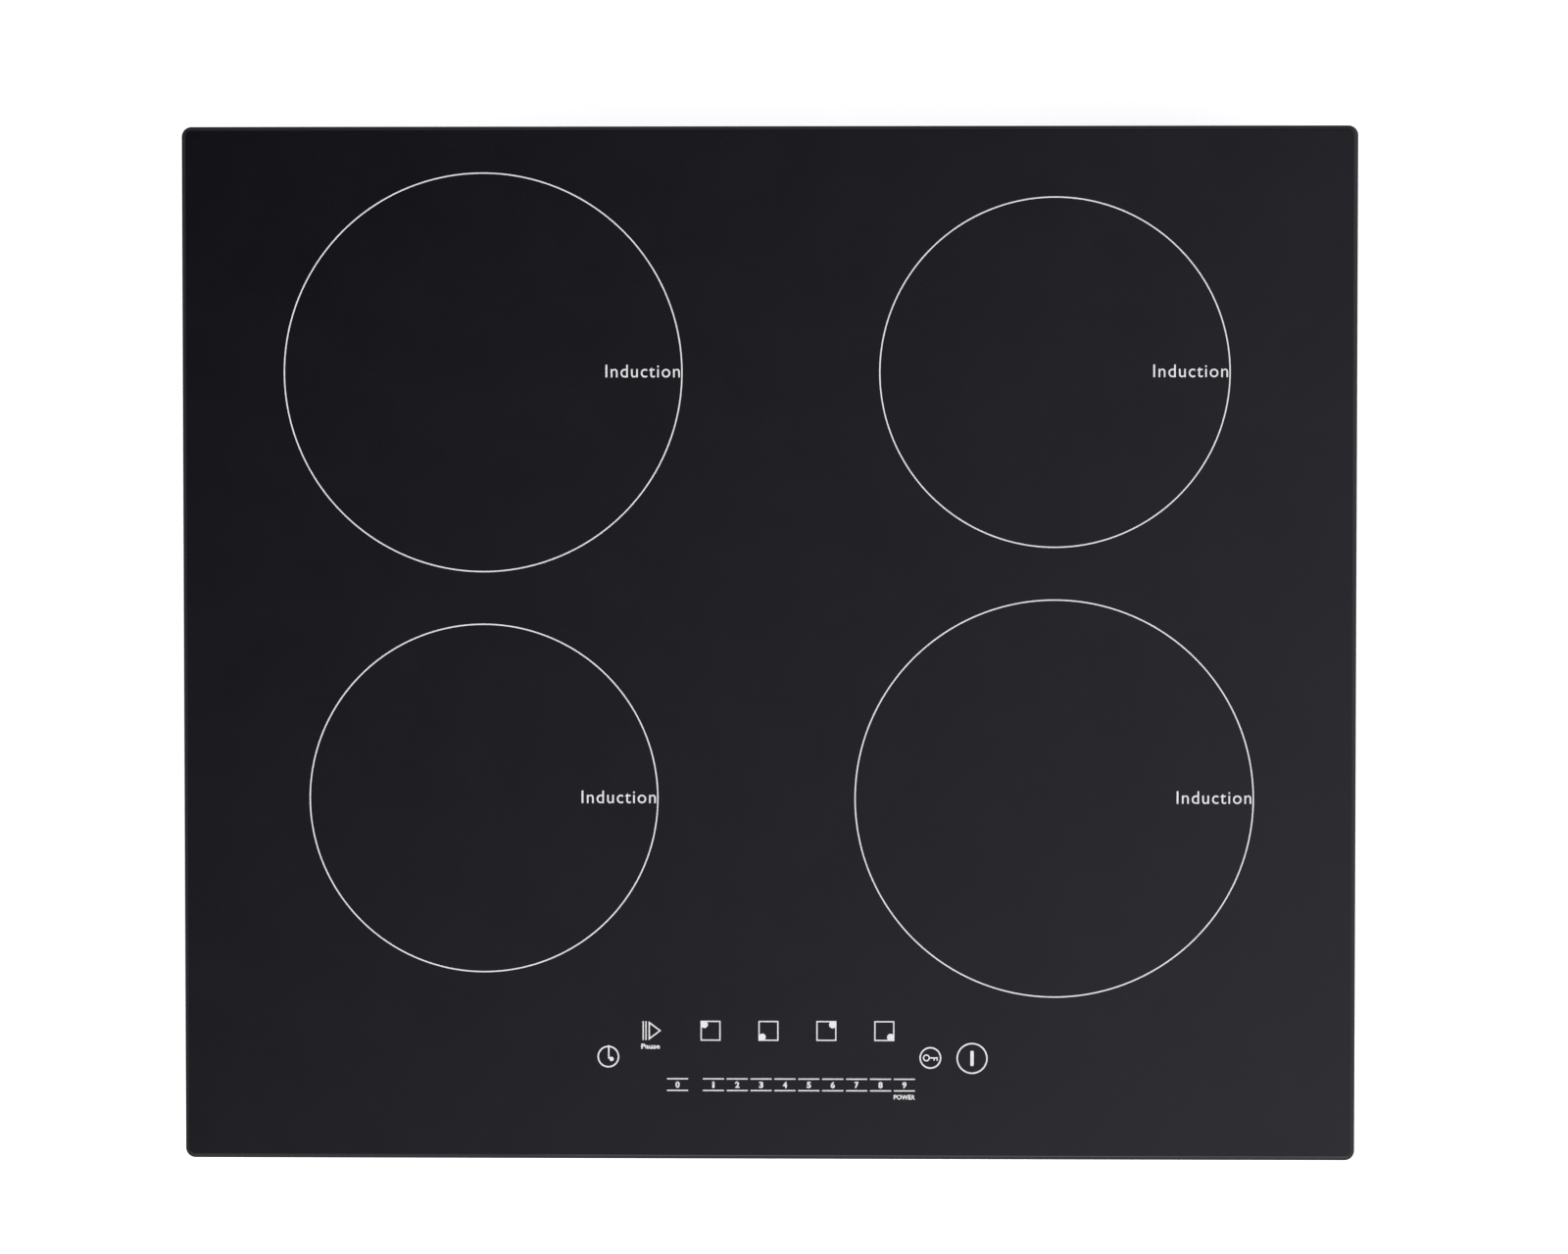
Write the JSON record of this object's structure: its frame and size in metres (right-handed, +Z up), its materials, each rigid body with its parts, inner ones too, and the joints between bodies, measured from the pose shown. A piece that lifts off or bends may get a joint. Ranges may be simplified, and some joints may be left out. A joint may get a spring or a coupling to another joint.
{
  "type": "induction hob",
  "caption": "Built-in induction hob: flat black glass top with printed cooking zones and a touch slider, over a steel tray with coils, boards, fans and swinging clamps.",
  "frame": {"origin": "middle of the underside", "axes": "+X to the right as the cook sees it, +Y to the back, +Z up"},
  "size_m": [0.59, 0.52, 0.06],
  "materials": {
    "black_glass": "polished",
    "printed_enamel": "satin",
    "black_rubber": "matte",
    "galvanised_sheet": "satin",
    "zinc_fastener": "satin",
    "zinc_plated_steel": "satin",
    "ferrite": "matte",
    "spring_steel": "satin",
    "aluminium_sheet": "satin",
    "aluminium_extrusion": "satin",
    "red_case": "satin",
    "blue_case": "satin",
    "copper_wire": "satin",
    "black_moulding": "matte",
    "grey_moulding": "matte",
    "white_nylon": "satin",
    "clear_film": "gloss",
    "green_board": "satin",
    "contact_rubber": "matte",
    "mica": "satin",
    "white_ceramic": "satin",
    "motor_steel": "satin",
    "shaft_steel": "polished",
    "wire_sleeve": "satin",
    "blank_label": "satin"
  },
  "bodies": {
    "root": {"glass_top": "black_glass", "rim_seal": "black_rubber", "tray": "galvanised_sheet", "tray_screws": "zinc_fastener", "ferrite_bars": "ferrite", "coil_springs": "spring_steel", "shield_plate": "aluminium_sheet", "film_capacitors": "red_case", "filter_chokes": "copper_wire", "power_transistors": "black_moulding", "relays": "blue_case", "board_standoffs": "white_nylon", "insulation_sheets": "clear_film", "control_trough": "grey_moulding", "control_board": "green_board", "display_modules": "black_moulding", "touch_contacts": "contact_rubber", "terminal_box": "black_moulding", "terminal_block": "white_nylon", "cable_grommet": "black_rubber", "clamp_screws": "zinc_fastener", "clamp_nuts": "zinc_fastener", "wire_harness": "wire_sleeve", "rating_plate": "blank_label", "mica_disc_rear_left": "mica", "mica_disc_rear_right": "mica", "mica_disc_front_left": "mica", "mica_disc_front_right": "mica", "coil_winding_rear_left": "copper_wire", "coil_winding_rear_right": "copper_wire", "coil_winding_front_left": "copper_wire", "coil_winding_front_right": "copper_wire", "coil_carrier_rear_left": "grey_moulding", "coil_carrier_rear_right": "grey_moulding", "coil_carrier_front_left": "grey_moulding", "coil_carrier_front_right": "grey_moulding", "heat_sensor_rear_left": "white_ceramic", "heat_sensor_rear_right": "white_ceramic", "heat_sensor_front_left": "white_ceramic", "heat_sensor_front_right": "white_ceramic", "glass_rail_left": "aluminium_sheet", "glass_rail_right": "aluminium_sheet", "power_board_left": "green_board", "power_board_right": "green_board", "heat_sink_left": "aluminium_extrusion", "heat_sink_right": "aluminium_extrusion", "fan_housing_left": "black_moulding", "fan_housing_right": "black_moulding", "fan_motor_left": "motor_steel", "fan_motor_right": "motor_steel"},
    "fan_rotor_left": {"fan_impeller_left": "black_moulding", "fan_shaft_left": "shaft_steel"},
    "fan_rotor_right": {"fan_impeller_right": "black_moulding", "fan_shaft_right": "shaft_steel"},
    "clamp_arm_rear_left": {"clamp_rear_left": "zinc_plated_steel"},
    "clamp_arm_rear_right": {"clamp_rear_right": "zinc_plated_steel"},
    "clamp_arm_front_left": {"clamp_front_left": "zinc_plated_steel"},
    "clamp_arm_front_right": {"clamp_front_right": "zinc_plated_steel"},
    "cover": {"terminal_cover": "black_moulding"}
  },
  "joints": [
    {"name": "fan_spin_left", "type": "hinge", "parent": "root", "child": "fan_rotor_left", "pos_m": [-0.052, 0.14, 0.02], "axis": [0, 0, 1], "continuous": true},
    {"name": "fan_spin_right", "type": "hinge", "parent": "root", "child": "fan_rotor_right", "pos_m": [0.052, 0.14, 0.02], "axis": [0, 0, 1], "continuous": true},
    {"name": "clamp_swing_rear_left", "type": "hinge", "parent": "root", "child": "clamp_arm_rear_left", "pos_m": [-0.262, 0.15, 0.006], "axis": [0, 0, -1], "range_deg": [0, 90]},
    {"name": "clamp_swing_rear_right", "type": "hinge", "parent": "root", "child": "clamp_arm_rear_right", "pos_m": [0.262, 0.15, 0.006], "axis": [0, 0, 1], "range_deg": [0, 90]},
    {"name": "clamp_swing_front_left", "type": "hinge", "parent": "root", "child": "clamp_arm_front_left", "pos_m": [-0.262, -0.15, 0.006], "axis": [0, 0, 1], "range_deg": [0, 90]},
    {"name": "clamp_swing_front_right", "type": "hinge", "parent": "root", "child": "clamp_arm_front_right", "pos_m": [0.262, -0.15, 0.006], "axis": [0, 0, -1], "range_deg": [0, 90]},
    {"name": "cover_hinge", "type": "hinge", "parent": "root", "child": "cover", "pos_m": [0.2, 0.2296, 0.004], "axis": [-1, 0, 0], "range_deg": [0, 90]}
  ]
}
